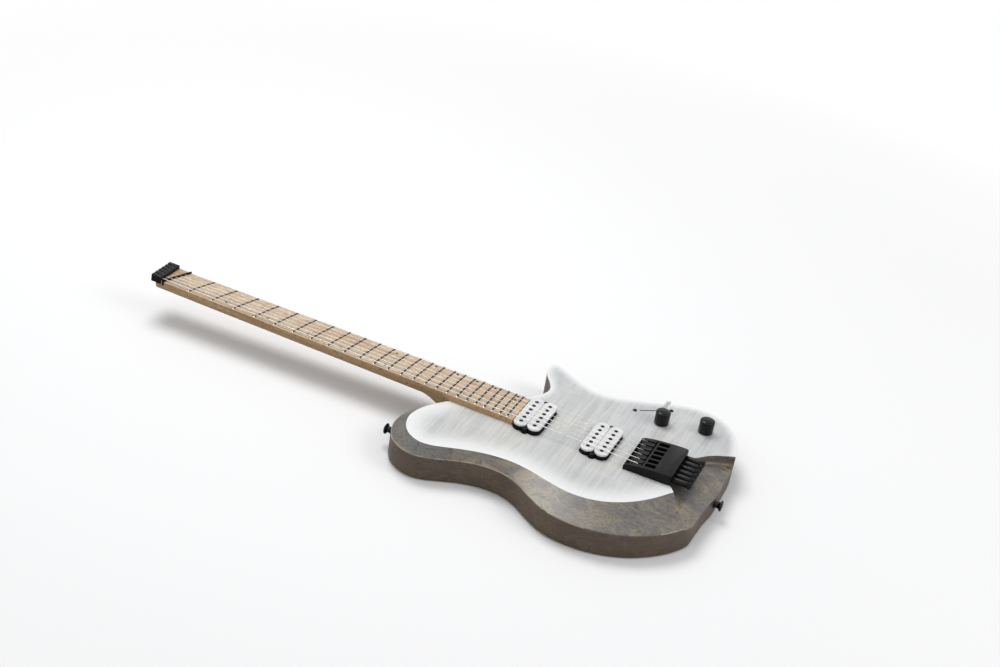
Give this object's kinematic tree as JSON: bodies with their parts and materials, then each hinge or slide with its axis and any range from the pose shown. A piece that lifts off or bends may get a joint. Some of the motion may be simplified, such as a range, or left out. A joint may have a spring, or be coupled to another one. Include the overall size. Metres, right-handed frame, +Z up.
{
  "type": "headless electric guitar",
  "caption": "Headless travel electric guitar with fanned frets, bevelled solid body, coil pickups, knobs, blade selector and a bridge whose thimbles tune the strings.",
  "frame": {"origin": "middle of the whole guitar's footprint, at the flat back of the body, with the guitar lying on its back", "axes": "+X along the strings from the head piece to the tail, +Y from the bass side to the treble side, +Z up out of the top"},
  "size_m": [0.8, 0.3104, 0.0652],
  "materials": {
    "burl_core": "satin stained burl, mottled grey and brown",
    "maple_top": "satin translucent white over figured maple",
    "neck_maple": "satin birdseye maple",
    "board_maple": "satin birdseye maple with steel frets",
    "black_plastic": "moulded black",
    "nut_black": "black composite",
    "black_hardware": "satin black",
    "white_bobbin": "moulded white",
    "white_tip": "moulded white",
    "string_steel": "bright steel",
    "plated_steel": "plated steel"
  },
  "bodies": {
    "guitar": {"body_core": "burl_core", "top_cap": "maple_top", "control_cover": "black_plastic", "neck": "neck_maple", "fingerboard": "board_maple", "truss_rod": "plated_steel", "nut": "nut_black", "headpiece": "black_hardware", "neck_pickup_base": "black_plastic", "neck_pickup_bobbin_front": "white_bobbin", "neck_pickup_bobbin_rear": "white_bobbin", "bridge_pickup_base": "black_plastic", "bridge_pickup_bobbin_front": "white_bobbin", "bridge_pickup_bobbin_rear": "white_bobbin", "bridge_frame": "black_hardware", "string_1": "string_steel", "string_2": "string_steel", "string_3": "string_steel", "string_4": "string_steel", "string_5": "string_steel", "string_6": "string_steel", "volume_pot": "plated_steel", "tone_pot": "plated_steel", "switch_body": "black_plastic", "switch_screw_front": "black_hardware", "switch_screw_rear": "black_hardware", "output_jack": "black_hardware", "strap_button_horn": "black_hardware", "strap_button_tail": "black_hardware"},
    "clamp_screw_6_body": {"clamp_screw_6": "black_hardware"},
    "saddle_6_body": {"saddle_6": "black_hardware"},
    "puller_6_body": {"string_puller_6": "black_hardware"},
    "thimble_6_body": {"tuner_thimble_6": "black_hardware"},
    "clamp_screw_5_body": {"clamp_screw_5": "black_hardware"},
    "saddle_5_body": {"saddle_5": "black_hardware"},
    "puller_5_body": {"string_puller_5": "black_hardware"},
    "thimble_5_body": {"tuner_thimble_5": "black_hardware"},
    "clamp_screw_4_body": {"clamp_screw_4": "black_hardware"},
    "saddle_4_body": {"saddle_4": "black_hardware"},
    "puller_4_body": {"string_puller_4": "black_hardware"},
    "thimble_4_body": {"tuner_thimble_4": "black_hardware"},
    "clamp_screw_3_body": {"clamp_screw_3": "black_hardware"},
    "saddle_3_body": {"saddle_3": "black_hardware"},
    "puller_3_body": {"string_puller_3": "black_hardware"},
    "thimble_3_body": {"tuner_thimble_3": "black_hardware"},
    "clamp_screw_2_body": {"clamp_screw_2": "black_hardware"},
    "saddle_2_body": {"saddle_2": "black_hardware"},
    "puller_2_body": {"string_puller_2": "black_hardware"},
    "thimble_2_body": {"tuner_thimble_2": "black_hardware"},
    "clamp_screw_1_body": {"clamp_screw_1": "black_hardware"},
    "saddle_1_body": {"saddle_1": "black_hardware"},
    "puller_1_body": {"string_puller_1": "black_hardware"},
    "thimble_1_body": {"tuner_thimble_1": "black_hardware"},
    "volume_control": {"volume_knob": "black_hardware", "volume_shaft": "plated_steel"},
    "tone_control": {"tone_knob": "black_hardware", "tone_shaft": "plated_steel"},
    "pickup_selector": {"switch_lever": "plated_steel", "switch_tip": "white_tip"},
    "truss_adjuster": {"truss_nut": "plated_steel"}
  },
  "joints": [
    {"name": "clamp_screw_6_turn", "type": "hinge", "parent": "guitar", "child": "clamp_screw_6_body", "pos_m": [-0.39988, -0.01445, 0.06178], "axis": [-0.9999, 0, 0.014], "range_deg": [0, 720]},
    {"name": "saddle_6_slide", "type": "slide", "parent": "guitar", "child": "saddle_6_body", "axis": [1, 0, 0], "range_m": [-0.0073, 0.0018], "deforming": ["string_6"]},
    {"name": "tuner_6_turn", "type": "hinge", "parent": "guitar", "child": "thimble_6_body", "pos_m": [0.33901, -0.02295, 0.0486], "axis": [1, 0, 0], "range_deg": [-1800, 1800]},
    {"name": "puller_6_slide", "type": "slide", "parent": "guitar", "child": "puller_6_body", "axis": [1, 0, 0], "range_m": [-0.00374, 0.00374], "deforming": ["string_6"]},
    {"name": "clamp_screw_5_turn", "type": "hinge", "parent": "guitar", "child": "clamp_screw_5_body", "pos_m": [-0.39988, -0.00735, 0.06165], "axis": [-0.9999, 0, 0.014], "range_deg": [0, 720]},
    {"name": "saddle_5_slide", "type": "slide", "parent": "guitar", "child": "saddle_5_body", "axis": [1, 0, 0], "range_m": [-0.0062, 0.0018], "deforming": ["string_5"]},
    {"name": "tuner_5_turn", "type": "hinge", "parent": "guitar", "child": "thimble_5_body", "pos_m": [0.33901, -0.01245, 0.0486], "axis": [1, 0, 0], "range_deg": [-1800, 1800]},
    {"name": "puller_5_slide", "type": "slide", "parent": "guitar", "child": "puller_5_body", "axis": [1, 0, 0], "range_m": [-0.00374, 0.00374], "deforming": ["string_5"]},
    {"name": "clamp_screw_4_turn", "type": "hinge", "parent": "guitar", "child": "clamp_screw_4_body", "pos_m": [-0.39988, -0.00025, 0.06153], "axis": [-0.9999, 0, 0.014], "range_deg": [0, 720]},
    {"name": "saddle_4_slide", "type": "slide", "parent": "guitar", "child": "saddle_4_body", "axis": [1, 0, 0], "range_m": [-0.0051, 0.0018], "deforming": ["string_4"]},
    {"name": "tuner_4_turn", "type": "hinge", "parent": "guitar", "child": "thimble_4_body", "pos_m": [0.33901, -0.00195, 0.0486], "axis": [1, 0, 0], "range_deg": [-1800, 1800]},
    {"name": "puller_4_slide", "type": "slide", "parent": "guitar", "child": "puller_4_body", "axis": [1, 0, 0], "range_m": [-0.00374, 0.00374], "deforming": ["string_4"]},
    {"name": "clamp_screw_3_turn", "type": "hinge", "parent": "guitar", "child": "clamp_screw_3_body", "pos_m": [-0.39988, 0.00685, 0.06143], "axis": [-0.9999, 0, 0.014], "range_deg": [0, 720]},
    {"name": "saddle_3_slide", "type": "slide", "parent": "guitar", "child": "saddle_3_body", "axis": [1, 0, 0], "range_m": [-0.004, 0.0018], "deforming": ["string_3"]},
    {"name": "tuner_3_turn", "type": "hinge", "parent": "guitar", "child": "thimble_3_body", "pos_m": [0.33901, 0.00855, 0.0486], "axis": [1, 0, 0], "range_deg": [-1800, 1800]},
    {"name": "puller_3_slide", "type": "slide", "parent": "guitar", "child": "puller_3_body", "axis": [1, 0, 0], "range_m": [-0.00374, 0.00374], "deforming": ["string_3"]},
    {"name": "clamp_screw_2_turn", "type": "hinge", "parent": "guitar", "child": "clamp_screw_2_body", "pos_m": [-0.39988, 0.01395, 0.06138], "axis": [-0.9999, 0, 0.014], "range_deg": [0, 720]},
    {"name": "saddle_2_slide", "type": "slide", "parent": "guitar", "child": "saddle_2_body", "axis": [1, 0, 0], "range_m": [-0.0029, 0.0018], "deforming": ["string_2"]},
    {"name": "tuner_2_turn", "type": "hinge", "parent": "guitar", "child": "thimble_2_body", "pos_m": [0.33901, 0.01905, 0.0486], "axis": [1, 0, 0], "range_deg": [-1800, 1800]},
    {"name": "puller_2_slide", "type": "slide", "parent": "guitar", "child": "puller_2_body", "axis": [1, 0, 0], "range_m": [-0.00374, 0.00374], "deforming": ["string_2"]},
    {"name": "clamp_screw_1_turn", "type": "hinge", "parent": "guitar", "child": "clamp_screw_1_body", "pos_m": [-0.39988, 0.02105, 0.06135], "axis": [-0.9999, 0, 0.014], "range_deg": [0, 720]},
    {"name": "saddle_1_slide", "type": "slide", "parent": "guitar", "child": "saddle_1_body", "axis": [1, 0, 0], "range_m": [-0.0018, 0.0018], "deforming": ["string_1"]},
    {"name": "tuner_1_turn", "type": "hinge", "parent": "guitar", "child": "thimble_1_body", "pos_m": [0.33901, 0.02955, 0.0486], "axis": [1, 0, 0], "range_deg": [-1800, 1800]},
    {"name": "puller_1_slide", "type": "slide", "parent": "guitar", "child": "puller_1_body", "axis": [1, 0, 0], "range_m": [-0.00374, 0.00374], "deforming": ["string_1"]},
    {"name": "volume_turn", "type": "hinge", "parent": "guitar", "child": "volume_control", "pos_m": [0.28536, 0.09258, 0.044], "axis": [0, 0, 1], "range_deg": [-150, 150]},
    {"name": "tone_turn", "type": "hinge", "parent": "guitar", "child": "tone_control", "pos_m": [0.33929, 0.10777, 0.044], "axis": [0, 0, 1], "range_deg": [-150, 150]},
    {"name": "selector_tilt", "type": "hinge", "parent": "guitar", "child": "pickup_selector", "pos_m": [0.26716, 0.11425, 0.028], "axis": [-0.5678, 0.8231, 0], "range_deg": [-64, 0]},
    {"name": "truss_nut_turn", "type": "hinge", "parent": "guitar", "child": "truss_adjuster", "pos_m": [-0.387, 0.0033, 0.04932], "axis": [-0.9999, 0, 0.014], "range_deg": [-180, 180]}
  ],
  "couplings": [
    {"joint": "tuner_6_turn", "follows": "puller_6_slide", "rad_per_m": -8377.6},
    {"joint": "tuner_5_turn", "follows": "puller_5_slide", "rad_per_m": -8377.6},
    {"joint": "tuner_4_turn", "follows": "puller_4_slide", "rad_per_m": -8377.6},
    {"joint": "tuner_3_turn", "follows": "puller_3_slide", "rad_per_m": -8377.6},
    {"joint": "tuner_2_turn", "follows": "puller_2_slide", "rad_per_m": -8377.6},
    {"joint": "tuner_1_turn", "follows": "puller_1_slide", "rad_per_m": -8377.6}
  ]
}
